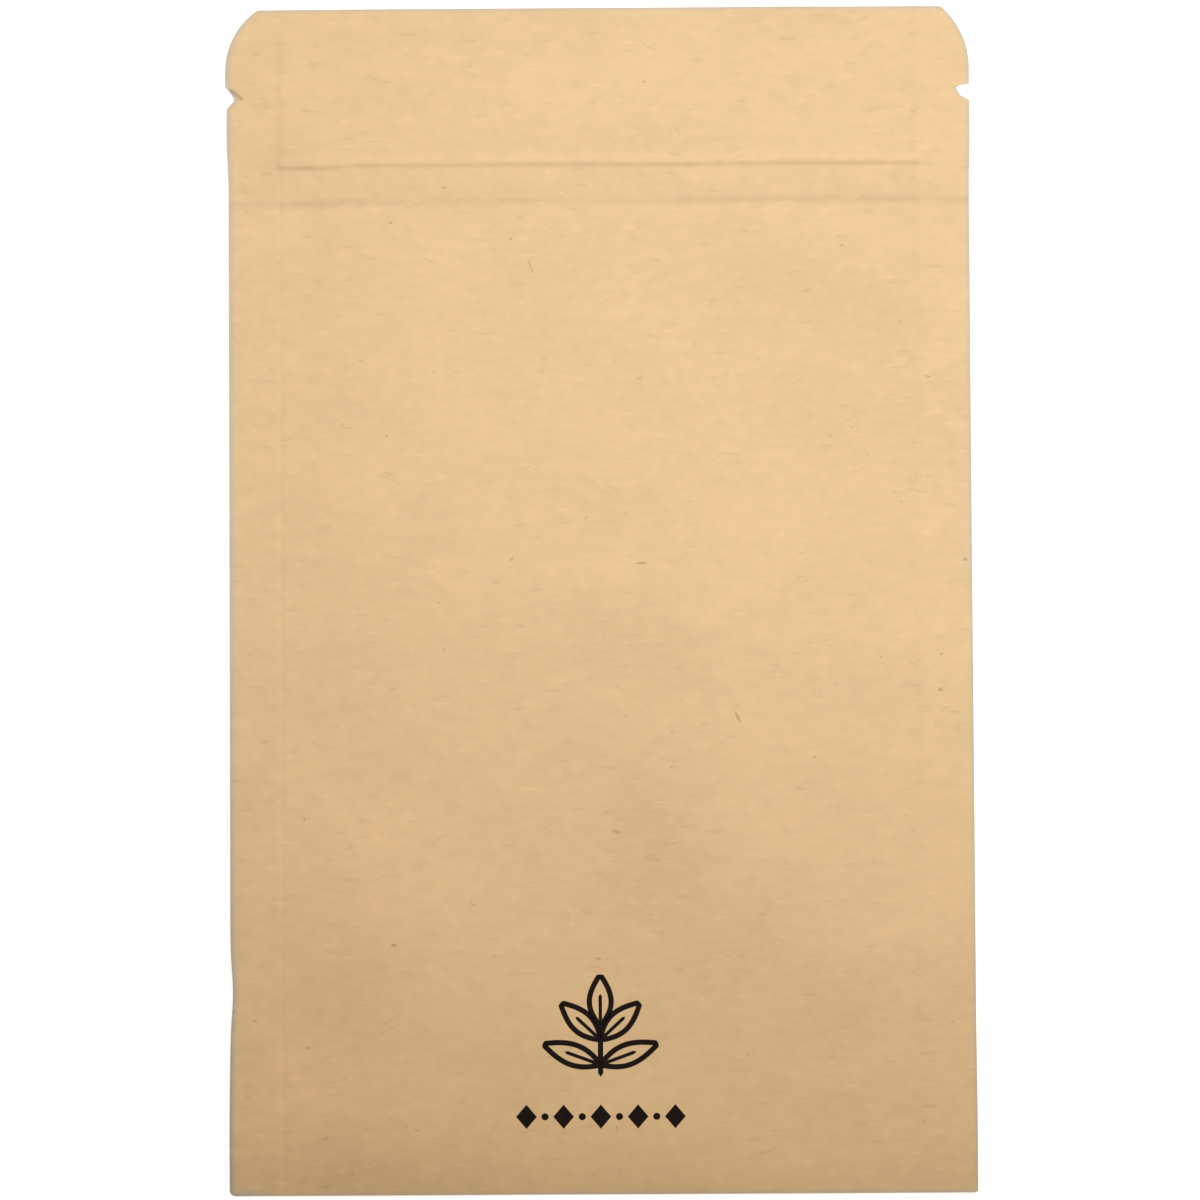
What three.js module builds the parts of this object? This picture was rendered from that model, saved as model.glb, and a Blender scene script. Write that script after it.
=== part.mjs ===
// A flat zip pouch of brown paper, empty and shut, lying on its back with its front face up.
// X runs across the pouch, Y along it towards the mouth and Z up. The origin is under the middle.
//
// The pouch is two plies of paper, sealed down both sides and closed by a press-to-close band below
// the mouth. Shut and empty it is one thin solid: a middle sheet that hangs a little at its rims, and
// a front and a back face that stand apart from it by a ply at the seals and by more at the belly.
// Depth is the distance below the cut edge of the mouth, which is how such a pouch is drawn up.
import * as THREE from "three";

const { clamp, smoothstep } = THREE.MathUtils;

// ---- driving dimensions, in millimetres ----
const LENGTH = 202;
const BODY_WIDTH = 126.4; // between the two cut sides, where the belly draws them in
const SEAL_WIDTH = 9; // the strip down each side where the plies are fused
const PAPER_PAIR = 0.36; // both plies together
const BELLY_GAP = 2.6; // between the plies in the middle of the belly
const REST_HEIGHT = 1.4; // the middle sheet over the table, at the belly
const SIDE_SAG = 0.3; // share of that height by which the sheet has sunk at its two sides
const MOUTH_SAG = 0.1; // and at the mouth
const FOOT_SAG = 0.9; // and at the foot, which lies on the table

// Each side of the cut outline. The flare is how far the flat ends of the pouch stand out past the
// drawn-in body, and the tab above the tear notch may stand out further. The mouth corner is a die-cut
// arc whose centre lies a little too near the mouth, so the arc meets the top edge at a slight angle.
// The bottom corners are barely eased. The tear notch is a polyline of [depth, cut].
const LEFT = {
  mouthFlare: 0.3,
  tabFlare: 0.25,
  footFlare: 0.3,
  dent: 0.4,
  footRadius: 1,
  corner: { radius: 12.5, drop: 10.4 },
  notch: [[13.2, 0], [13.9, 0.6], [15.2, 1.35], [15.6, 1.35], [17, 0]],
};
const RIGHT = {
  mouthFlare: 0.2,
  tabFlare: 0,
  footFlare: 0.15,
  dent: 0,
  footRadius: 0.5,
  corner: { radius: 13.9, drop: 10.5 },
  notch: [[13.35, 0], [13.6, 1.7], [14, 2.3], [15.3, 1.6], [16.2, 0]],
};
const TAB_DEPTHS = [12, 17.5]; // the tab's own flare fades out between these
const MOUTH_FLARE_DEPTHS = [22, 31]; // the flare of the mouth fades out between these
const FOOT_FLARE_DEPTHS = [168, 194]; // and the flare of the foot grows between these
const DENT = { depth: 167.5, length: 5 }; // a slight dent in one side, near the foot

// The zip band: two interlocking strips between the plies. Each step says between which depths each
// face rises, and by how much: a long rise over the strips, the bead, the crease under it, which drops
// lower, and the step at the lower hem.
const BAND_STEPS = [
  [10, 20.4, 0.36],
  [24.9, 26.4, 0.2],
  [26.4, 27.5, -0.34],
  [32.1, 34.1, -0.22],
];
const BAND_IN_SEALS = 0.4; // share of that relief left where the side seals have crushed the strips
const HEM = 33.1; // depth of the hem, where the belly begins

// ---- the cell grid ----
const BAND_MIDDLE = 29.8; // a row between the crease and the hem
const BAND_MARGIN = 1.4; // from the last row of the band to the first of the belly
const BELLY_COLUMNS = 22;
const BELLY_ROWS = 22;
const CORNER_STEPS = 8;
const FOOT_STEPS = 4;
const DENT_STEPS = 6;
const RIM = 1.2; // width of the outermost column
const SEAL_STEP = 1.6; // width of the column just inside a seal
const FOLLOW_FROM = 0.5; // columns further out than this share of the half width follow the outline

const halfBody = BODY_WIDTH / 2;
const sealEdge = halfBody - SEAL_WIDTH;

// The cut of a tear notch at a depth, read off its polyline.
function notchCut(notch, depth) {
  for (let i = 1; i < notch.length; i++) {
    const [depthA, cutA] = notch[i - 1];
    const [depthB, cutB] = notch[i];
    if (depth >= depthA && depth <= depthB)
      return cutA + ((cutB - cutA) * (depth - depthA)) / (depthB - depthA);
  }
  return 0;
}

// How far a quarter circle has drawn in from its tangent line, this far short of its end.
function arcInset(radius, remaining) {
  return remaining > 0 ? radius - Math.sqrt(radius ** 2 - remaining ** 2) : 0;
}

// Distance from the centre line to the cut edge on one side of the pouch.
function halfWidth(side, depth) {
  const mouth = side.mouthFlare * (1 - smoothstep(depth, ...MOUTH_FLARE_DEPTHS));
  const tab = side.tabFlare * (1 - smoothstep(depth, ...TAB_DEPTHS));
  const foot = side.footFlare * smoothstep(depth, ...FOOT_FLARE_DEPTHS);
  const corner = arcInset(side.corner.radius, side.corner.drop - depth);
  const footCorner = arcInset(side.footRadius, depth - (LENGTH - side.footRadius));
  const dent = side.dent * Math.exp(-(((depth - DENT.depth) / DENT.length) ** 2));
  const cut = corner + footCorner + dent + notchCut(side.notch, depth);
  return halfBody + mouth + tab + foot - cut;
}

// Evenly spaced values from a to b, both included.
function spread(a, b, steps) {
  return Array.from({ length: steps + 1 }, (_, i) => a + ((b - a) * i) / steps);
}

// The distinct values of a list, in rising order.
function rising(values) {
  return [...new Set(values.map((v) => Math.round(v * 1000) / 1000))].sort((a, b) => a - b);
}

// Depths of the rows: the corner arcs by equal angles, every corner of the notches, the rises of the
// zip band, the belly, the dent, and the eased bottom corners.
function rowDepths() {
  const { radius, drop } = LEFT.corner;
  const cornerAngles = spread(Math.acos(drop / radius), Math.PI / 2, CORNER_STEPS);
  const footAngles = spread(0, Math.PI / 2, FOOT_STEPS);
  const bandEnd = BAND_STEPS.at(-1)[1];
  const footStart = LENGTH - LEFT.footRadius;
  return rising([
    ...cornerAngles.map((angle) => drop - radius * Math.cos(angle)),
    ...LEFT.notch.map(([depth]) => depth),
    ...RIGHT.notch.map(([depth]) => depth),
    ...BAND_STEPS.flatMap(([from, to]) => spread(from, to, 2)),
    BAND_MIDDLE,
    ...spread(bandEnd + BAND_MARGIN, footStart, BELLY_ROWS),
    ...spread(DENT.depth - 1.6 * DENT.length, DENT.depth + 1.6 * DENT.length, DENT_STEPS),
    ...footAngles.map((angle) => footStart + LEFT.footRadius * Math.sin(angle)),
  ]);
}

// Places of the columns as shares of the half width, from -1 at the left cut to 1 at the right.
function columnShares() {
  const belly = sealEdge - SEAL_STEP;
  const seal = [sealEdge, sealEdge + SEAL_WIDTH / 2, halfBody - RIM, halfBody];
  const places = [...seal.map((x) => -x), ...spread(-belly, belly, BELLY_COLUMNS), ...seal];
  return rising(places.map((x) => x / halfBody));
}

// How far each face stands out over the zip strips.
function zipRise(x, depth) {
  const steps = BAND_STEPS.map(([from, to, height]) => height * smoothstep(depth, from, to));
  const inSeal = smoothstep(Math.abs(x), sealEdge - 1, sealEdge + 1);
  const free = 1 - (1 - BAND_IN_SEALS) * inSeal;
  return free * steps.reduce((sum, step) => sum + step, 0);
}

// How open the belly is, from 0 at its seals to 1 in its middle. The plies part slowly along the
// side seals and the zip, lie almost parallel in between, and close quickly at the foot.
function openness(x, depth) {
  const across = clamp(Math.abs(x) / sealEdge, 0, 1);
  const along = clamp((2 * (depth - HEM)) / (LENGTH - HEM) - 1, -1, 1);
  const closing = along < 0 ? (1 - Math.abs(along) ** 3) ** 1.5 : 1 - along ** 6;
  return (1 - across ** 2.5) ** 1.5 * closing;
}

// The middle sheet: level at the belly, sinking towards the sides and the two ends.
function middleSheet(x, depth) {
  const across = Math.min(Math.abs(x) / halfBody, 1);
  const along = (2 * depth) / LENGTH - 1;
  const endSag = along < 0 ? MOUTH_SAG : FOOT_SAG;
  return REST_HEIGHT * (1 - SIDE_SAG * across ** 2.5) * (1 - endSag * along ** 4);
}

// Half the thickness of the pouch.
function halfThickness(x, depth) {
  return (PAPER_PAIR + BELLY_GAP * openness(x, depth)) / 2 + zipRise(x, depth);
}

// The whole pouch from a box of unit cells: each corner of a cell moves to its column and row on the
// outline, and up or down to its face. The back is pressed flat where it would sink into the table.
function pouchGeometry() {
  const depths = rowDepths();
  const shares = columnShares();
  const columns = shares.length - 1;
  const rows = depths.length - 1;
  const geometry = new THREE.BoxGeometry(1, 1, 1, columns, rows, 1);
  const position = geometry.getAttribute("position");
  for (let i = 0; i < position.count; i++) {
    const share = shares[Math.round((position.getX(i) + 0.5) * columns)];
    const depth = depths[Math.round((0.5 - position.getY(i)) * rows)];
    const follow = smoothstep(Math.abs(share), FOLLOW_FROM, 1);
    const shift = halfWidth(share < 0 ? LEFT : RIGHT, depth) - halfBody;
    const x = share * halfBody + Math.sign(share) * shift * follow;
    const middle = middleSheet(x, depth);
    const half = halfThickness(x, depth);
    const z = position.getZ(i) > 0 ? middle + half : Math.max(middle - half, 0);
    position.setXYZ(i, x, LENGTH / 2 - depth, z);
  }
  geometry.computeBoundingBox();
  const { min, max } = geometry.boundingBox;
  geometry.translate(-(min.x + max.x) / 2, 0, 0);
  geometry.computeVertexNormals();
  return geometry;
}

const brownPaper = new THREE.MeshStandardMaterial({
  color: new THREE.Color("#e1c092"),
  roughness: 0.8,
  metalness: 0,
});

const pouch = new THREE.Mesh(pouchGeometry(), brownPaper);
pouch.name = "pouch";

const group = new THREE.Group();
group.add(pouch);

export default group;
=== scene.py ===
# %% [markdown]
# # A flat zip pouch of brown paper
#
# The real thing is two plies of brown paper, lined with film and fused together down both sides and
# along the foot. A press-to-close band runs across it below the mouth, the mouth corners are cut
# round, and a small nick in each side shows where to tear. Empty, it lies nearly flat, so almost all
# of its character is in very low relief and in the look of the paper.
#
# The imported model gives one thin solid. This script dresses it: each ply becomes a fine mesh, the
# paper gets its fibres and flecks, and a small mark is printed low on the front.

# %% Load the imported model
import math

import bpy
import numpy as np
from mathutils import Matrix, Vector


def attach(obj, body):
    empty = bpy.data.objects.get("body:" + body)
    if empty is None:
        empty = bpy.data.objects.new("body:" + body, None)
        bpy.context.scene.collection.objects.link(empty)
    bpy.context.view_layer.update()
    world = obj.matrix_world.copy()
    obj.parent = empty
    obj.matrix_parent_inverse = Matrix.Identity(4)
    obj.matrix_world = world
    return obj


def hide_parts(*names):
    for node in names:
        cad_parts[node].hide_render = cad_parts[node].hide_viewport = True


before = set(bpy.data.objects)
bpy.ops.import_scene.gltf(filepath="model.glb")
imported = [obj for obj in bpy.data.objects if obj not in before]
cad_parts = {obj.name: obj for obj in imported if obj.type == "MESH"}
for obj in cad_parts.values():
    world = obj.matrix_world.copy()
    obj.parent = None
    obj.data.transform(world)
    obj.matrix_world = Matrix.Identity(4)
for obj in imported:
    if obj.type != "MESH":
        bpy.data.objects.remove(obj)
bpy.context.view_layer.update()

# %% [markdown]
# ## Sizes
#
# A pouch maker draws in millimetres, and measures everything down from the mouth, because the corners,
# the nicks and the closing band are all set out from there. So every size below is in millimetres and
# "depth" is the distance below the cut edge of the mouth. One factor turns millimetres into Blender's
# metres when a mesh is made. X runs across the pouch, and y along it, towards the mouth.

# %% Sizes of the pouch
MM = 0.001
LENGTH = 202.0
HALF_BODY = 63.2
SEAL_EDGE = 54.2
PAPER_PAIR = 0.36
PLY = 0.16
BELLY_GAP = 2.6
REST_HEIGHT = 1.4
SIDE_SAG = 0.3
MOUTH_SAG = 0.1
FOOT_SAG = 0.9
BEAD_DEPTH = 26.4
HEM_DEPTH = 33.1

LEFT = dict(mouth_flare=0.3, tab_flare=0.25, foot_flare=0.3, dent=0.4, foot_radius=1.0,
            radius=12.5, drop=10.4,
            nick_depths=(13.2, 13.9, 15.2, 15.6, 17.0), nick_cuts=(0, 0.6, 1.35, 1.35, 0))
RIGHT = dict(mouth_flare=0.2, tab_flare=0.0, foot_flare=0.15, dent=0.0, foot_radius=0.5,
             radius=13.9, drop=10.5,
             nick_depths=(13.35, 13.6, 14.0, 15.3, 16.2), nick_cuts=(0, 1.7, 2.3, 1.6, 0))
TAB_DEPTHS = (12.0, 17.5)
MOUTH_FLARE_DEPTHS = (22.0, 31.0)
FOOT_FLARE_DEPTHS = (168.0, 194.0)
DENT_DEPTH = 167.5

centre_x = (LEFT["mouth_flare"] + LEFT["tab_flare"] - RIGHT["mouth_flare"]) / 2
print("seals are", round(HALF_BODY - SEAL_EDGE, 1), "mm wide; the box is centred by", centre_x, "mm")

# %% [markdown]
# ## The cut outline
#
# A steel rule die cuts the outline: two mouth corners, two tear nicks and two barely eased corners at
# the foot. It could be drawn as a curve and filled, but then the mesh inside would be a fan of long
# thin triangles, and no relief could be laid on it. Here the outline is a formula instead: for each
# depth it says how far the cut edge is from the centre line. A grid of rows and columns then follows
# it on both sides. The flat ends stand out a little past the body, because the bowed belly draws the
# sides in. On the left the tab above the nick stands out a little more, and the side has one slight
# dent near the foot.

# %% The outline as a formula
def smoothstep(low, high, value):
    """0 below low, 1 above high, and 3t^2 - 2t^3 in between."""
    t = np.clip((value - low) / (high - low), 0, 1)
    return t * t * (3 - 2 * t)


def bell(value, centre, width):
    """A bump of height 1 at centre: e to the minus ((value - centre) / width) squared."""
    return np.exp(-((value - centre) / width) ** 2)


def arc_inset(radius, remaining):
    """How far a quarter circle has left its tangent line: r - sqrt(r^2 - remaining^2)."""
    reach = np.clip(remaining, 0, radius)
    return radius - np.sqrt(radius ** 2 - reach ** 2)


def side_edge(side, depth):
    """Centre line to cut edge: the body, plus the flares, minus the corners, the nick and the dent."""
    mouth = side["mouth_flare"] * (1 - smoothstep(*MOUTH_FLARE_DEPTHS, depth))
    tab = side["tab_flare"] * (1 - smoothstep(*TAB_DEPTHS, depth))
    foot = side["foot_flare"] * smoothstep(*FOOT_FLARE_DEPTHS, depth)
    corner = arc_inset(side["radius"], side["drop"] - depth)
    foot_corner = arc_inset(side["foot_radius"], depth - (LENGTH - side["foot_radius"]))
    nick = np.interp(depth, side["nick_depths"], side["nick_cuts"])
    dent = side["dent"] * bell(depth, DENT_DEPTH, 5)
    return HALF_BODY + mouth + tab + foot - corner - foot_corner - nick - dent


def cut_edge(x, depth):
    """The same for any point: the left side's edge where x is negative, and else the right side's."""
    return np.where(x < 0, side_edge(LEFT, depth), side_edge(RIGHT, depth))


print("widest at depth 12:", round(float(side_edge(LEFT, 12.0) + side_edge(RIGHT, 12.0)), 2), "mm")

# %% [markdown]
# Even rows would either miss the nicks or waste most of the mesh on the plain belly. So the rows and
# columns are graded: their spacing follows a density that is 1 everywhere and rises in a bell around
# each fine feature. Every corner of the nicks also gets a row of its own, which keeps them crisp.

# %% Rows and columns, crowded where the shape is fine
ROWS = 232
COLUMNS = 184
ROW_CROWDS = [(0, 4, 3), (15, 2, 5), (BEAD_DEPTH, 2, 5), (HEM_DEPTH, 2, 3), (LENGTH, 1.5, 6)]
COLUMN_CROWDS = [(side * place, width, weight) for side in (-1, 1)
                 for place, width, weight in ((HALF_BODY, 2.5, 3), (SEAL_EDGE, 1.5, 1.5))]


def graded(low, high, steps, crowds):
    """Places from low to high, spaced so that each step takes an equal share of the summed density."""
    fine = np.linspace(low, high, 4000)
    density = 1 + sum(weight * bell(fine, place, width) for place, width, weight in crowds)
    travelled = np.concatenate([[0], np.cumsum((density[1:] + density[:-1]) / 2)])
    return np.interp(np.linspace(0, travelled[-1], steps + 1), travelled, fine)


def with_corners(rows, corners):
    """The rows with one more at each corner, and without any that would crowd a corner."""
    gap = np.abs(rows[:, None] - corners).min(1)
    return np.sort(np.concatenate([rows[gap > 0.06], corners]))


nick_corners = np.unique(LEFT["nick_depths"] + RIGHT["nick_depths"])
row_depths = with_corners(graded(0, LENGTH, ROWS, ROW_CROWDS), nick_corners)
column_places = graded(-HALF_BODY, HALF_BODY, COLUMNS, COLUMN_CROWDS)

# The outermost columns slide all the way with the cut edge, and those near the middle stay put.
sheet_place, sheet_depth = np.meshgrid(row_depths, column_places, indexing="ij")[::-1]
follow = smoothstep(HALF_BODY / 2, HALF_BODY, np.abs(sheet_place))
slide = (cut_edge(sheet_place, sheet_depth) - HALF_BODY) * follow
sheet_x = sheet_place + np.sign(sheet_place) * slide
print("each face has", (len(row_depths) - 1) * COLUMNS, "cells")
print("the finest row is", round(np.diff(row_depths).min(), 2), "mm high")

# %% [markdown]
# ## The lie of the pouch
#
# The solid's form comes first: a middle sheet that sinks towards the sides and the foot, and two faces
# that part over the belly. These are the same formulas as the solid's, so the dressed pouch keeps its
# form. A cloth simulation could puff the plies apart, but a sealed paper pouch is stiff and flat, and
# a formula holds it true to the drawing.

# %% The main form
def openness(x, depth):
    """0 at the seals, 1 in the belly: (1 - across^2.5)^1.5, closed by along^3 above and along^6 below."""
    across = np.clip(np.abs(x) / SEAL_EDGE, 0, 1)
    along = np.clip(2 * (depth - HEM_DEPTH) / (LENGTH - HEM_DEPTH) - 1, -1, 1)
    closing = np.where(along < 0, (1 - np.abs(along) ** 3) ** 1.5, 1 - along ** 6)
    return (1 - across ** 2.5) ** 1.5 * closing


def middle_sheet(x, depth):
    """Height of the sheet between the plies: its rest height, less a share at the sides and the ends."""
    across = np.clip(np.abs(x) / HALF_BODY, 0, 1)
    along = 2 * depth / LENGTH - 1
    end_sag = np.where(along < 0, MOUTH_SAG, FOOT_SAG)
    return REST_HEIGHT * (1 - SIDE_SAG * across ** 2.5) * (1 - end_sag * along ** 4)


def half_thickness(x, depth):
    """From the middle sheet to either face."""
    return (PAPER_PAIR + BELLY_GAP * openness(x, depth)) / 2


belly_depth = (HEM_DEPTH + LENGTH) / 2
belly = middle_sheet(0.0, belly_depth) + half_thickness(0.0, belly_depth)
print("the belly stands", round(float(belly), 2), "mm over the table")

# %% [markdown]
# ## The closing band
#
# Two plastic strips lie between the plies. From outside they show as a long soft rise below the
# mouth, a narrow bead, one crisp crease under it, where the paper drops off the bead, and a softer
# step at the hem. The crease is what the eye finds first, and it isn't ruled: it sags a little at its
# left end, breaks once, and stops dead where the seal has crushed the bead. So each step here has a
# strength that changes along the band. Where it is weak, the same drop is spread over a longer stretch.

# %% The closing band
# From which depth to which depth the face changes, and by how much.
RISE = (10.0, 20.4, 0.41)
TROUGH = (21.0, 24.8, -0.05)
BEAD = (24.9, BEAD_DEPTH, 0.20)
CREASE_DROP = 0.34
HEM_DROP = 0.22


def crease_strength(x):
    """1 on the crisp right half, a little less on the left, with one break near the left end."""
    return 0.85 + 0.15 * smoothstep(-20, 25, x) + 0.2 * bell(x, -49, 5) - 0.5 * bell(x, -43.5, 1.3)


def hem_strength(x):
    """The hem shows clearly near the left end and along the right part, and faintly in between."""
    return 0.45 + 0.7 * bell(x, -47, 8) + 0.2 * bell(x, -13, 3) + 0.45 * smoothstep(0, 24, x)


def band_depth(x, depth):
    """Depth along the band, as if the band had no sag and no waver."""
    return depth - 0.35 * (1 - smoothstep(-46, -43, x)) - 0.06 * np.sin(x / 7)


def band_free(x):
    """1 between the seals and 0 in them, for the bead and its crease, which end sharply."""
    return 1 - 0.85 * smoothstep(SEAL_EDGE + 0.1, SEAL_EDGE + 0.9, np.abs(x))


def change(at, low, high, height):
    """0 above the depth low, and height below the depth high."""
    return height * smoothstep(low, high, at)


def band_relief(x, depth):
    """A rise, a faint trough, the bead, the crease under it, and the step at the hem."""
    at = band_depth(x, depth)
    crisp = smoothstep(BEAD_DEPTH, BEAD_DEPTH + 1.1, at)
    spread = smoothstep(BEAD_DEPTH, HEM_DEPTH - 1, at)
    crease = CREASE_DROP * (spread + (crisp - spread) * crease_strength(x))
    step = smoothstep(HEM_DEPTH - 1, HEM_DEPTH + 1, at)
    slope = smoothstep(HEM_DEPTH - 4, HEM_DEPTH + 5, at)
    hem = HEM_DROP * (slope + (step - slope) * hem_strength(x))
    crushed = smoothstep(SEAL_EDGE - 3, SEAL_EDGE + 3, np.abs(x))
    strips = (change(at, *RISE) + change(at, *TROUGH) - hem) * (1 - 0.6 * crushed)
    return strips + (change(at, *BEAD) - crease) * band_free(x)


print("the bead stands", round(float(band_relief(20.0, BEAD_DEPTH)), 2), "mm proud")

# %% [markdown]
# ## The low relief
#
# The crushed ends of the strips make small ripples across the side seals, the heat bars leave a step
# along the seals' inner edges, and film-lined paper never lies dead flat, so soft buckles cross the
# belly. Sculpting could do all this, but each has a simple cause and a simple formula, and a sum of
# formulas can be tuned one by one.

# %% Ripples, seal steps and buckles
SEAL_LIP = 0.03
SEAL_STEP = 0.06
RIPPLE_HEIGHT = 0.035
RIPPLE_PITCH = 3.1
FRONT_SEED = 5
BACK_SEED = 11

# Middle x and y, half length, half width, turn in degrees, height.
BUCKLES = [
    (-20, -38, 40, 17, -54, -0.40),
    (20, -8, 34, 14, -48, 0.22),
    (-50, -62, 20, 9, -35, 0.22),
    (44, 62, 26, 13, -25, 0.20),
    (-46, 14, 12, 6, -40, 0.12),
    (36, -48, 16, 8, 20, -0.12),
]


def swell(x, depth, middle_x, middle_y, length, width, turn):
    """A long soft patch of height 1: a bell along its length times a bell across it."""
    cosine = math.cos(math.radians(turn))
    sine = math.sin(math.radians(turn))
    right = x - middle_x
    up = LENGTH / 2 - depth - middle_y
    return bell(right * cosine + up * sine, 0, length) * bell(up * cosine - right * sine, 0, width)


def seal_relief(x, depth):
    """A lip and a step down into each seal, and ripples across the seals beside the crushed bead."""
    inside = smoothstep(SEAL_EDGE - 0.5, SEAL_EDGE + 0.9, np.abs(x))
    lip = bell(np.abs(x), SEAL_EDGE - 0.6, 0.7)
    ripples = np.sin(2 * np.pi * (depth + x * np.abs(x) / 800) / RIPPLE_PITCH)
    near_bead = smoothstep(16, 21, depth) * (1 - smoothstep(35, 41, depth))
    return SEAL_LIP * lip - SEAL_STEP * inside + RIPPLE_HEIGHT * ripples * near_bead * inside


def cockle(x, depth, seed, wavelength, height, waves=24):
    """Sum of many faint sine waves in random directions, so that it never repeats."""
    rng = np.random.default_rng(seed)
    angle = rng.uniform(0, 2 * np.pi, waves)[:, None, None]
    length = (wavelength * rng.uniform(0.7, 1.6, waves))[:, None, None]
    phase = rng.uniform(0, 2 * np.pi, waves)[:, None, None]
    travel = (x * np.cos(angle) + depth * np.sin(angle)) / length
    return height * np.sin(2 * np.pi * travel + phase).sum(0) * math.sqrt(2 / waves)


def fine_relief(x, depth, seed):
    """Everything finer than the form and the band, with the slow waves held down in the seals."""
    free = 1 - smoothstep(SEAL_EDGE - 6, SEAL_EDGE + 2, np.abs(x))
    slow = cockle(x, depth, seed, wavelength=34, height=0.05) * (0.35 + 0.65 * free)
    quick = cockle(x, depth, seed + 1, wavelength=6, height=0.004)
    return seal_relief(x, depth) + slow + quick


def front_height(x, depth):
    """Top of the front ply over the table."""
    form = middle_sheet(x, depth) + half_thickness(x, depth) + band_relief(x, depth)
    buckles = sum(height * swell(x, depth, *where) for *where, height in BUCKLES)
    return form + fine_relief(x, depth, FRONT_SEED) + buckles


def back_height(x, depth):
    """Underside of the back ply, pressed flat where it meets the table."""
    form = middle_sheet(x, depth) - half_thickness(x, depth) - band_relief(-x, depth)
    return np.maximum(form - fine_relief(x, depth, BACK_SEED), 0)


front_top = front_height(sheet_x, sheet_depth)
back_bottom = back_height(sheet_x, sheet_depth)
print("front ply tops out at", round(front_top.max(), 2), "mm")

# %% [markdown]
# ## From grids to closed plies
#
# A ply is a thin slab: a top grid, a bottom grid, and a rim that joins their borders. A Solidify
# modifier could give a plane its thickness, but here each side needs its own height, since the inside
# of a ply must stay clear of the other ply. So one helper closes any pair of grids into a slab, and
# the print and the fibres use it again later.

# %% A slab from two grids, and a piece from slabs
SHARP_FROM = math.radians(50)


def slab(x, depth, top, bottom):
    """Points and outward quads of the slab between two height grids on the same x and depth."""
    rows, columns = x.shape
    y = LENGTH / 2 - depth
    points = [np.stack([x, y, height], -1).reshape(-1, 3) for height in (top, bottom)]
    index = np.arange(rows * columns).reshape(rows, columns)
    a, b, c, d = index[:-1, :-1], index[1:, :-1], index[1:, 1:], index[:-1, 1:]
    top_quads = np.stack([a, b, c, d], -1).reshape(-1, 4)
    bottom_quads = np.stack([d, c, b, a], -1).reshape(-1, 4) + rows * columns
    border = np.concatenate([index[0, :-1], index[:-1, -1], index[-1, :0:-1], index[:0:-1, 0]])
    following = np.roll(border, -1)
    rim_quads = np.stack([border, following, following + rows * columns, border + rows * columns], -1)
    return np.concatenate(points), np.concatenate([top_quads, bottom_quads, rim_quads])


def make_piece(name, slabs, material):
    """One mesh object, in metres, from one or more slabs, that rides on the pouch's only body."""
    starts = np.cumsum([0] + [len(points) for points, _ in slabs])
    points = np.concatenate([points for points, _ in slabs]) * MM
    quads = np.concatenate([quads + start for (_, quads), start in zip(slabs, starts)])
    points[:, 0] += centre_x * MM
    mesh = bpy.data.meshes.new(name)
    mesh.from_pydata(points, [], quads)
    mesh.shade_smooth()
    mesh.set_sharp_from_angle(angle=SHARP_FROM)
    mesh.materials.append(material)
    piece = bpy.data.objects.new(name, mesh)
    bpy.context.scene.collection.objects.link(piece)
    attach(piece, "root")
    print(name, "has", len(points), "points and", len(quads), "quads")
    return piece


# %% [markdown]
# ## Shader maths in plain expressions
#
# A Blender material is a graph of nodes. Wiring dozens of Math nodes by hand hides the idea, so a
# small class stands for one socket and turns +, - and * into Math nodes. Everything that isn't plain
# arithmetic goes through one method, `add`, that makes any node from its type, its settings and its
# inputs.

# %% A socket that does arithmetic
class Wire:
    """An output socket of a node tree. Arithmetic on it adds Math nodes to the tree."""

    def __init__(self, tree, socket):
        self.tree = tree
        self.socket = socket

    def add(self, kind, settings, inputs, output=0):
        """Adds a node: its settings first, then its inputs as values or wires, by name or number."""
        node = self.tree.nodes.new(kind)
        for key, value in settings.items():
            setattr(node, key, value)
        for key, value in inputs.items():
            if isinstance(value, Wire):
                self.tree.links.new(value.socket, node.inputs[key])
            else:
                node.inputs[key].default_value = value
        return Wire(self.tree, node.outputs[output])

    def math(self, operation, *values):
        return self.add("ShaderNodeMath", {"operation": operation}, dict(enumerate(values)))

    def __add__(self, other):
        return self.math("ADD", self, other)

    def __radd__(self, other):
        return self.math("ADD", other, self)

    def __sub__(self, other):
        return self.math("SUBTRACT", self, other)

    def __rsub__(self, other):
        return self.math("SUBTRACT", other, self)

    def __mul__(self, other):
        return self.math("MULTIPLY", self, other)

    def __rmul__(self, other):
        return self.math("MULTIPLY", other, self)

    def step(self, low, high):
        """0 below low, 1 above high, smooth in between."""
        return self.add("ShaderNodeMapRange", {"interpolation_type": "SMOOTHSTEP"},
                        {"Value": self, "From Min": low, "From Max": high})

    def noise(self, squeeze, detail, seed):
        """Noise from 0 to 1 at this place. Squeeze gives waves per millimetre along each axis."""
        moved = self.add("ShaderNodeMapping", {}, {"Vector": self, "Location": seed, "Scale": squeeze})
        return self.add("ShaderNodeTexNoise", {}, {"Vector": moved, "Scale": 1, "Detail": detail})

    def scaled(self, factor):
        """A vector or colour times a number."""
        return self.add("ShaderNodeVectorMath", {"operation": "SCALE"}, {0: self, "Scale": factor})

    def plug(self, node, name):
        self.tree.links.new(self.socket, node.inputs[name])


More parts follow.
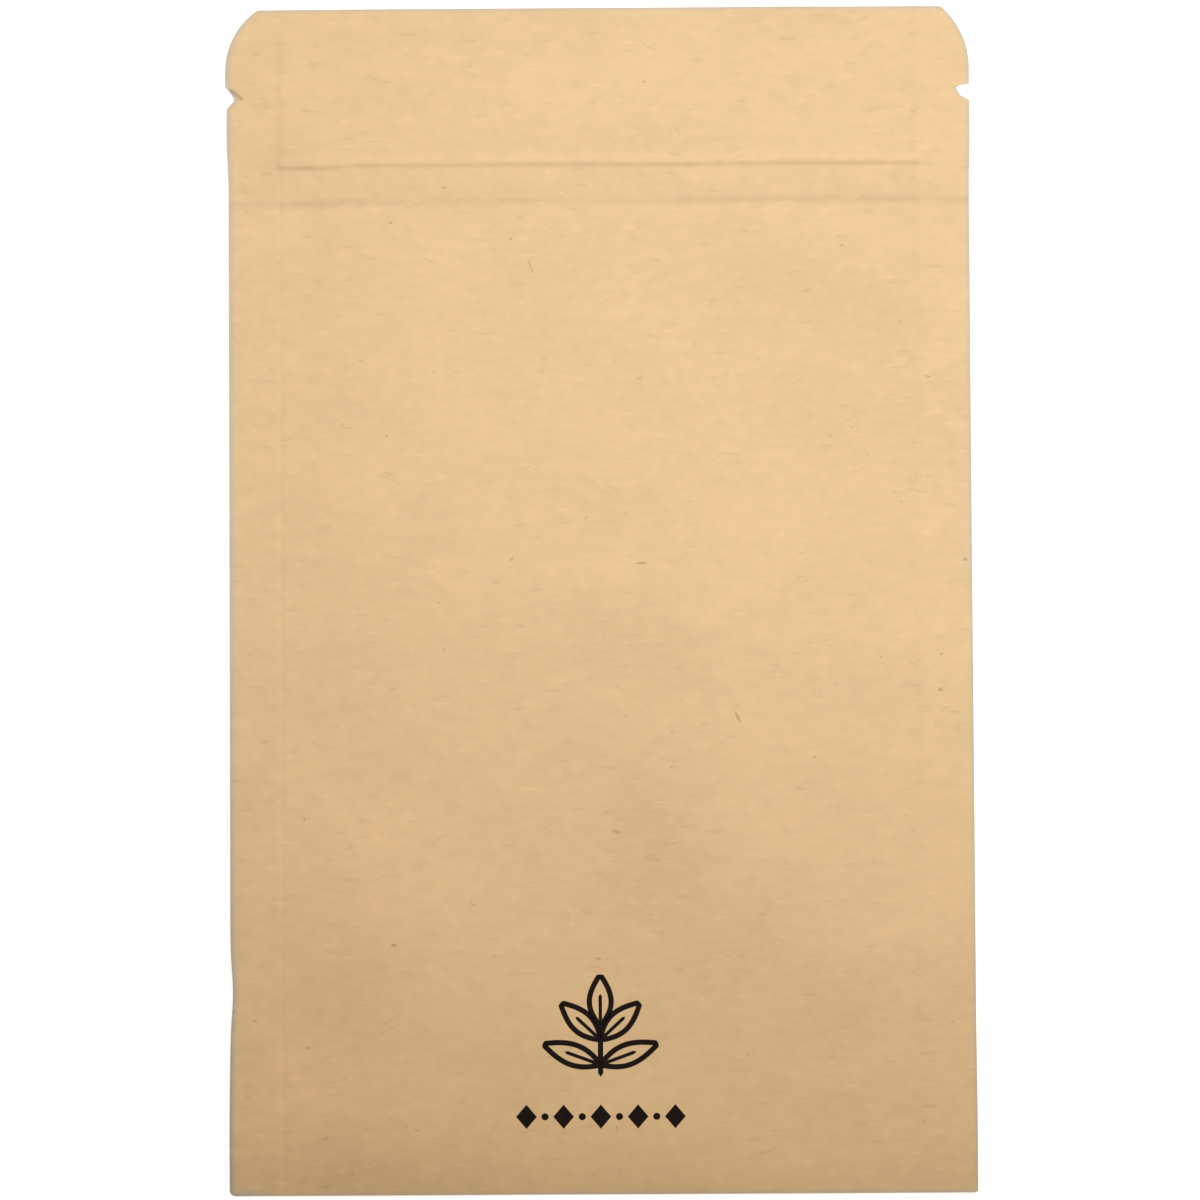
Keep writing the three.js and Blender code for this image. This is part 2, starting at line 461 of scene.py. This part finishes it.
def start_material(name, colour, roughness, specular=0.35):
    """A material of one colour, its Principled node, and a wire for the place in millimetres."""
    material = bpy.data.materials.new(name)
    material.use_nodes = True
    tree = material.node_tree
    principled = tree.nodes["Principled BSDF"]
    principled.inputs["Base Color"].default_value = (*colour, 1)
    principled.inputs["Roughness"].default_value = roughness
    principled.inputs["Specular IOR Level"].default_value = specular
    coordinates = tree.nodes.new("ShaderNodeTexCoord")
    place = Wire(tree, coordinates.outputs["Object"]).scaled(1 / MM)
    return material, principled, place


# %% [markdown]
# ## The paper
#
# Unbleached paper is a mat of wood fibres, so its tan is never quite even. Felt-like mottle about two
# millimetres across, faint streaks along the web, which here runs across the pouch, and clouds a
# centimetre or two wide are three noises in object space, squeezed to those sizes. A fourth shows
# only at its peaks and its hollows, as sparse short dashes, which are bundles of fibre just under the
# surface. An image would be the quick way, but noise has no seams.
#
# Broader changes belong to places on this pouch and not to paper as such. Most are painted light and
# shade: painted shade across the closing band with a painted highlight on its bead, painted shade at
# the foot, in the slit at the left nick and low down the left edge, painted light on the right seal
# with painted shade along its inner edge, and soft patches of painted light and shade over the belly.
# A grey line runs along the cut. Those are worked out in numpy, one number for each point of the mesh,
# and ride along as the attributes "tone" and "rim".

# %% The painted light and shade
# Middle x and y, half length, half width, turn in degrees, share lighter or darker, all painted light and
# shade.
PAINTED_SHADING_PATCHES = [
    (-38, -43, 17, 8, -50, 0.055),
    (-46, -63, 9, 5, 0, -0.035),
    (-50, -82, 16, 6, -12, 0.06),
    (-54, -73, 13, 4, 0, 0.035),
    (0, -86, 32, 6, -4, 0.05),
    (22, -97, 28, 4, 0, 0.03),
    (11, -48, 26, 9, -62, -0.06),
    (-17, -55, 10, 6, -40, 0.04),
    (38, -68, 18, 7, -12, -0.05),
    (46, -85, 8, 5, 0, -0.04),
    (46, 45, 17, 15, -50, -0.04),
    (-30, 20, 22, 6, 0, 0.03),
    (22, 6, 20, 6, 0, 0.03),
    (54, -1, 12, 6, 90, 0.03),
    (0, -11, 20, 5, 0, -0.03),
    (50, -30, 14, 7, 60, 0.035),
    (56, -54, 9, 6, 60, 0.035),
    (-46, -15, 22, 8, 0, -0.02),
    (-46, -96, 24, 4, 0, -0.06),
    (60, -95, 9, 5, 0, -0.06),
    (8, 55, 25, 6, 0, -0.025),
    (-42, 42, 18, 5, 0, -0.025),
    (48, 12, 14, 6, 0, 0.025),
    (44, -89, 10, 4, -15, 0.025),
]
SLIT_START = (-62.75, 13.75)  # x and depth
SLIT_END = (-60.95, 15.2)
SHADE_DEPTHS = (110.0, 190.0)  # the left side goes into shade between these


def slit_distance(x, depth):
    """Distance from the short slit at the left nick, which runs on past the open cut."""
    run = np.subtract(SLIT_END, SLIT_START)
    right = x - SLIT_START[0]
    down = depth - SLIT_START[1]
    t = np.clip((right * run[0] + down * run[1]) / (run @ run), 0, 1)
    return np.hypot(right - t * run[0], down - t * run[1])


def grey_cut_and_left_shade(x, depth):
    """1 at the cut edge and gone a millimetre inside it. Wider on the left and stronger low down there,
    as painted shade.
    """
    inside = np.minimum(cut_edge(x, depth) - np.abs(x), np.minimum(depth, LENGTH - depth))
    left = smoothstep(55, 61, -x)
    return bell(inside, 0, 0.45 + 0.3 * left) * (1 + 0.4 * left * smoothstep(*SHADE_DEPTHS, depth))


def band_painted_shading(x, depth):
    """Painted shade deepening towards the hem, painted shade lines there and in the crease, and a painted
    highlight on the bead.
    """
    at = band_depth(x, depth)
    # The bead term is a painted highlight. The crease, hem, band and between terms are painted shade.
    band = smoothstep(BEAD_DEPTH + 1, HEM_DEPTH, at) * (1 - smoothstep(HEM_DEPTH, HEM_DEPTH + 1.5, at))
    bead = bell(at, BEAD_DEPTH - 0.65, 0.6) * crease_strength(x) * band_free(x)
    crease = bell(at, BEAD_DEPTH + 0.6, 0.4) * crease_strength(x) * band_free(x)
    hem = bell(at, HEM_DEPTH, 0.65) * hem_strength(x)
    between = smoothstep(BEAD_DEPTH - 3, BEAD_DEPTH, at) * (1 - smoothstep(HEM_DEPTH - 2, HEM_DEPTH, at))
    return 0.04 * bead - 0.03 * band - 0.062 * crease - 0.07 * hem - 0.012 * between


def front_painted_shading(x, depth):
    """Painted light and shade, as a share lighter or darker than plain paper: soft areas, band, right
    seal, slit, foot and left edge.
    """
    # Soft areas of painted light and shade over the belly.
    painted_patches = sum(share * swell(x, depth, *where) for *where, share in PAINTED_SHADING_PATCHES)
    # Painted light on the right seal, with a thin line of painted shade along its inner edge.
    seal = 0.018 * smoothstep(SEAL_EDGE, SEAL_EDGE + 0.8, x) - 0.01 * bell(x, SEAL_EDGE - 0.4, 0.6)
    # Painted shade in the slit at the left nick.
    slit = bell(slit_distance(x, depth), 0, 0.26)
    # Painted shade along the foot.
    foot = smoothstep(LENGTH - 8, LENGTH, depth)
    # Painted shade down the left edge, low down.
    painted_left_shade = bell(side_edge(LEFT, depth) + x, 0, 0.6) * smoothstep(*SHADE_DEPTHS, depth)
    return painted_patches + band_painted_shading(x, depth) + seal - 0.4 * slit - 0.07 * foot - 0.16 * painted_left_shade


painted_front = front_painted_shading(sheet_x, sheet_depth)
# The back carries the band's painted light and shade as well.
painted_back = band_painted_shading(-sheet_x, sheet_depth)
print("the front's tone is even to", round(100 * float(painted_front.std()), 1), "percent")

# %% The paper material
PAPER_TAN = (0.638, 0.488, 0.280)
# Grey of the line along the cut, also used for the painted shade down the left edge.
CUT_GREY_AND_SHADE = (0.47, 0.45, 0.39)
BARK = (0.48, 0.35, 0.19)


def paper_material(name, flecked):
    """Tan times one plus its variations and the painted light and shade, greyer at the cut. The back gets
    random flecks.
    """
    material, principled, place = start_material(name, PAPER_TAN, 0.64)
    felt = place.noise((0.38, 0.52, 0.5), 2, (3, 1, 0))
    streak = place.noise((0.20, 1.00, 0.5), 1, (0, 5, 0))
    cloud = place.noise((0.055, 0.085, 0.05), 3, (7, 2, 0))
    bundle = place.noise((0.27, 1.0, 0.5), 1, (9, 4, 0))
    dashes = bundle.step(0.64, 0.80) * 0.06 - (1 - bundle).step(0.64, 0.80) * 0.075
    # The tone attribute is all painted light and shade. The rim attribute is the grey line along the cut,
    # with painted shade down the left edge.
    painted_light_and_shade = place.add("ShaderNodeAttribute", {"attribute_name": "painted_light_and_shade"}, {}, output="Fac")
    rim = place.add("ShaderNodeAttribute", {"attribute_name": "rim"}, {}, output="Fac")

    # The paper's own mottle, streaks, clouds and dashes, plus the painted light and shade.
    shade = 1 + painted_light_and_shade + dashes + (felt - 0.5) * 0.17 + (streak - 0.5) * 0.05 + (cloud - 0.5) * 0.14
    colour = place.add("ShaderNodeMix", {"data_type": "RGBA"},
                       {"Factor": rim * 0.85, "A": (*PAPER_TAN, 1), "B": (*CUT_GREY_AND_SHADE, 1)},
                       output=2).scaled(shade)
    if flecked:
        fleck = place.noise((0.55, 0.95, 0.8), 1, (5, 5, 0)).step(0.74, 0.82) * 0.4
        colour = place.add("ShaderNodeMix", {"data_type": "RGBA"},
                           {"Factor": fleck, "A": colour, "B": (*BARK, 1)}, output=2)
    colour.plug(principled, "Base Color")

    (0.60 + (felt - 0.5) * 0.2).plug(principled, "Roughness")
    bump = place.add("ShaderNodeBump", {}, {"Height": felt * 0.6 + streak * 0.4, "Strength": 0.25,
                                            "Distance": 0.03 * MM})
    bump.plug(principled, "Normal")
    print(name, "uses", len(material.node_tree.nodes), "nodes")
    return material


# %% Make the two plies
HALF_GAP = 0.01  # each ply stays this far from the surface midway between them


def make_ply(name, top, bottom, painted_light_and_shade, flecked):
    """One ply on the sheet's grid. Its painted light and shade and its rim are the same on its top and
    bottom grids.
    """
    ply = make_piece(name, [slab(sheet_x, sheet_depth, top, bottom)],
                     paper_material(name + "_paper", flecked))
    for attribute, values in (("painted_light_and_shade", painted_light_and_shade), ("rim", grey_cut_and_left_shade(sheet_x, sheet_depth))):
        data = ply.data.attributes.new(attribute, "FLOAT", "POINT").data
        data.foreach_set("value", np.tile(values.ravel(), 2))
    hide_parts("pouch")


middle = (front_top + back_bottom) / 2
front_inside = np.maximum(front_top - PLY, middle + HALF_GAP)
back_inside = np.minimum(back_bottom + PLY, middle - HALF_GAP)
make_ply("front_ply", front_top, front_inside, painted_front, flecked=False)
make_ply("back_ply", back_inside, back_bottom, painted_back, flecked=True)

# %% [markdown]
# ## Strokes that lie on the paper
#
# The print, the loose fibres and the flecks of bark are all small marks with a crisp edge. They could
# be masks in the paper's shader, but a mask goes soft when a model is baked to a texture. As thin
# slabs on the paper they stay sharp at any distance. Each is a path with a width that changes along
# it, and its height is read off the paper below.

# %% A stroke along a path
SINK = 0.03


def stroke(x, y, width, rise=0.02, sides=7):
    """A slab along a path: the path's normal carries each edge half a width to its side."""
    tangent = np.stack([np.gradient(x), np.gradient(y)])
    tangent = tangent / np.hypot(*tangent)
    side = np.linspace(-0.5, 0.5, sides)
    across_x = x[:, None] - (tangent[1] * width)[:, None] * side
    across_y = y[:, None] + (tangent[0] * width)[:, None] * side
    depth = LENGTH / 2 - across_y
    paper = front_height(across_x, depth)
    return slab(across_x, depth, paper + rise, paper - SINK)


def spot(x, y, half_length, half_width, turn, power=2, **shape):
    """A filled spot. Its width follows (1 - |t|^power)^(1/power): 1 gives a lozenge, 2 an ellipse."""
    t = np.linspace(-1, 1, 25)
    width = 2 * half_width * (1 - np.abs(t) ** power) ** (1 / power)
    angle = math.radians(turn)
    return stroke(x + half_length * t * math.cos(angle), y + half_length * t * math.sin(angle),
                  np.maximum(width, 0.02), **shape)


print("a spot is a slab of", len(spot(0, 0, 1, 1, 0)[1]), "quads")

# %% [markdown]
# ## The print
#
# A dark mark is printed low on the front: a small leafy sprig over a row of plain lozenges and dots.
# A pen line of even width draws it, so a leaf is two bowed lines and a midrib.

# %% The printed mark
PEN_WIDTH = 0.9
MARK_X = -0.5
SPRIG_Y = -72.5
ROW_Y = -87.7
ROW_PITCH = 3.15
LOZENGE = (2.05, 1.75)
DOT = (0.6, 0.6)
INK_BLACK = (0.008, 0.005, 0.004)
INK_THIN = (0.055, 0.036, 0.021)


def pen(x, y, width=PEN_WIDTH):
    """A stroke of even width with rounded ends."""
    t = np.linspace(0, 1, len(x))
    length = np.hypot(np.diff(x), np.diff(y)).sum()
    end = np.clip(np.minimum(t, 1 - t) * length / (width / 2), 0, 1)
    return stroke(x, y, width * np.sqrt(np.clip(1 - (1 - end) ** 2, 0.02, 1)))


def leaf(base_y, length, belly, turn):
    """Two bowed edges and a midrib. The bow is belly times sin(pi t) ^ 0.9, a quarter less at the tip."""
    angle = math.radians(turn)

    def pen_along(t, out, width):
        pen_x = MARK_X + length * t * math.sin(angle) + out * math.cos(angle)
        pen_y = base_y + length * t * math.cos(angle) - out * math.sin(angle)
        return pen(pen_x, pen_y, width)

    t = np.linspace(0, 1, 33)
    rib = np.linspace(0.08, 0.62, 12)
    bow = belly * np.sin(np.pi * t) ** 0.9 * (1 - 0.25 * t)
    return [pen_along(t, bow, PEN_WIDTH), pen_along(t, -bow, PEN_WIDTH),
            pen_along(rib, 0, 0.65 * PEN_WIDTH)]


def sprig():
    """A stem with one leaf at its tip and two pairs beside it."""
    stem_y = np.linspace(-8.4, 0.4, 16)
    strokes = [pen(np.full(len(stem_y), MARK_X), SPRIG_Y + stem_y)]
    strokes += leaf(SPRIG_Y + 0.2, 8.6, 2.1, 0)
    for side in (-1, 1):
        strokes += leaf(SPRIG_Y - 2.2, 9.2, 1.95, side * 47)
        strokes += leaf(SPRIG_Y - 6.4, 10.4, 1.95, side * 70)
    return strokes


def row_of_spots():
    """Lozenges at the even places and small dots at the odd ones."""
    spots = []
    for i in range(-4, 5):
        x = MARK_X + ROW_PITCH * i
        if i % 2 == 0:
            spots.append(spot(x, ROW_Y, *LOZENGE, 90, power=1))
        else:
            spots.append(spot(x, ROW_Y, *DOT, 90))
    return spots


def ink_material():
    """Flat black ink, a little thinner over some of the paper's fibres."""
    material, principled, place = start_material("print_ink", INK_BLACK, 0.6, specular=0.1)
    fibre = place.noise((0.5, 2.4, 1.0), 2, (1, 1, 0)).step(0.55, 0.85) * 0.25
    ink = place.add("ShaderNodeMix", {"data_type": "RGBA"},
                    {"Factor": fibre, "A": (*INK_BLACK, 1), "B": (*INK_THIN, 1)}, output=2)
    ink.plug(principled, "Base Color")
    return material


make_piece("printed_mark", sprig() + row_of_spots(), ink_material())

# %% [markdown]
# ## Fibres and flecks
#
# Here and there a single fibre lies on top, lighter or darker than the mat, and a few flecks of bark
# got through the screens. Seven flecks and one long dark fibre are plain to see on this pouch and are
# listed one by one. The rest are scattered at random, and most fibres lean along the web.

# %% Loose fibres and flecks of bark
LIGHT_FIBRE = (0.670, 0.517, 0.305)
DARK_FIBRE = (0.580, 0.435, 0.243)
LIGHT_COUNT = 150
DARK_COUNT = 110
TINY_FLECKS = 40
FIBRE_SEED = 21

# Middle x and y, half length, half width, turn in degrees.
FLECKS = [
    (6.9, 5.9, 1.0, 0.20, 4),
    (23.1, -20.3, 1.0, 0.22, -62),
    (2.4, -39.6, 0.7, 0.25, -20),
    (-35.4, -58.6, 0.5, 0.28, 10),
    (-0.8, -61.0, 0.5, 0.20, 0),
    (57.6, -15.8, 0.4, 0.28, 30),
    (62.0, 6.3, 0.4, 0.25, 0),
    (-11.7, 56.8, 1.4, 0.10, -70),
]


def loose_fibre(rng):
    """A short curved stroke: its heading turns evenly from start to end."""
    steps = np.linspace(0, 1, 9)
    length = rng.uniform(1.5, 5.5)
    heading = rng.normal(0, 0.5) + rng.normal(0, 0.8) * (steps - 0.5)
    x = rng.uniform(-58, 58) + np.cumsum(np.cos(heading)) * length / 9
    y = rng.uniform(-98, 96) + np.cumsum(np.sin(heading)) * length / 9
    width = rng.uniform(0.10, 0.20) * (1 - (2 * steps - 1) ** 4) + 0.01
    return stroke(x, y, width, rise=0.006, sides=3)


def bark_flecks(rng, count):
    """The listed flecks, and some tiny ones at random."""
    strokes = [spot(*fleck, rise=0.008, sides=5) for fleck in FLECKS]
    for _ in range(count):
        strokes.append(spot(rng.uniform(-60, 60), rng.uniform(-98, 97), rng.uniform(0.2, 0.5),
                            rng.uniform(0.08, 0.16), rng.normal(0, 40), rise=0.006, sides=3))
    return strokes


rng = np.random.default_rng(FIBRE_SEED)
light_fibres = [loose_fibre(rng) for _ in range(LIGHT_COUNT)]
dark_fibres = [loose_fibre(rng) for _ in range(DARK_COUNT)]
flecks = bark_flecks(rng, TINY_FLECKS)
make_piece("light_fibres", light_fibres, start_material("fibre_light", LIGHT_FIBRE, 0.6)[0])
make_piece("dark_fibres", dark_fibres, start_material("fibre_dark", DARK_FIBRE, 0.6)[0])
make_piece("bark_flecks", flecks, start_material("bark", BARK, 0.6)[0])

# %% [markdown]
# ## Table, light and camera
#
# The pouch is seen from straight above on a plain white table. A large soft lamp hangs over the mouth,
# so the light falls away towards the foot. A second, weaker lamp rakes in low from beyond the mouth,
# which brings out the closing band, and a warm surround fills the shade, as a pale wooden room would.

# %% The table
def white_table(reach=2.0, height=-0.05 * MM):
    """A plain square, a hair below the pouch, that glows a little to stay white around it."""
    mesh = bpy.data.meshes.new("table")
    corners = [(-reach, -reach), (reach, -reach), (reach, reach), (-reach, reach)]
    mesh.from_pydata([(x, y, height) for x, y in corners], [], [(0, 1, 2, 3)])
    material, principled, _ = start_material("table_white", (0.9, 0.9, 0.9), 0.9, specular=0)
    principled.inputs["Emission Color"].default_value = (1, 1, 1, 1)
    principled.inputs["Emission Strength"].default_value = 0.5
    mesh.materials.append(material)
    table = bpy.data.objects.new("table", mesh)
    bpy.context.scene.collection.objects.link(table)
    print("the table reaches", reach, "m each way")


white_table()


# %% The lamps
def soft_lamp(name, place, aim, size, power):
    """A square area lamp at place that faces aim, both in millimetres, unseen by the camera."""
    lamp = bpy.data.lights.new(name, "AREA")
    lamp.shape = "SQUARE"
    lamp.size = size * MM
    lamp.energy = power
    holder = bpy.data.objects.new(name, lamp)
    holder.location = Vector(place) * MM
    holder.rotation_euler = (Vector(aim) - Vector(place)).to_track_quat("-Z", "Y").to_euler()
    holder.visible_camera = False
    bpy.context.scene.collection.objects.link(holder)
    print(name, "is", size, "mm square and gives", power, "W")


soft_lamp("lamp_over_mouth", (51, 97, 288), (92, 300, 0), 400, 0.92)
soft_lamp("lamp_raking", (500, 1050, 820), (0, 0, 0), 450, 6.3)

world = bpy.data.worlds.new("surround")
world.use_nodes = True
world.node_tree.nodes["Background"].inputs["Color"].default_value = (1.0, 0.72, 0.49, 1)
world.node_tree.nodes["Background"].inputs["Strength"].default_value = 0.44
bpy.context.scene.world = world

# %% [markdown]
# The camera hangs over the pouch, turned a third of a degree and tilted by just under two, which is
# enough to make the foot end look a little wider than the mouth. The plain "Standard" view keeps the
# paper's colour as it is, where a film-like view would grey it.

# %% The camera
camera_data = bpy.data.cameras.new("camera")
camera_data.lens = 100
camera_data.sensor_width = 36
camera = bpy.data.objects.new("camera", camera_data)
camera.location = Vector((2.1, -17.1, 567.9)) * MM
camera.rotation_euler = [math.radians(angle) for angle in (1.70, 0.22, -0.33)]
bpy.context.scene.collection.objects.link(camera)
bpy.context.scene.camera = camera
bpy.context.scene.view_settings.view_transform = "Standard"
seen = camera.location.z / MM * camera_data.sensor_width / camera_data.lens
print("the camera sees about", round(seen), "mm across at the table")
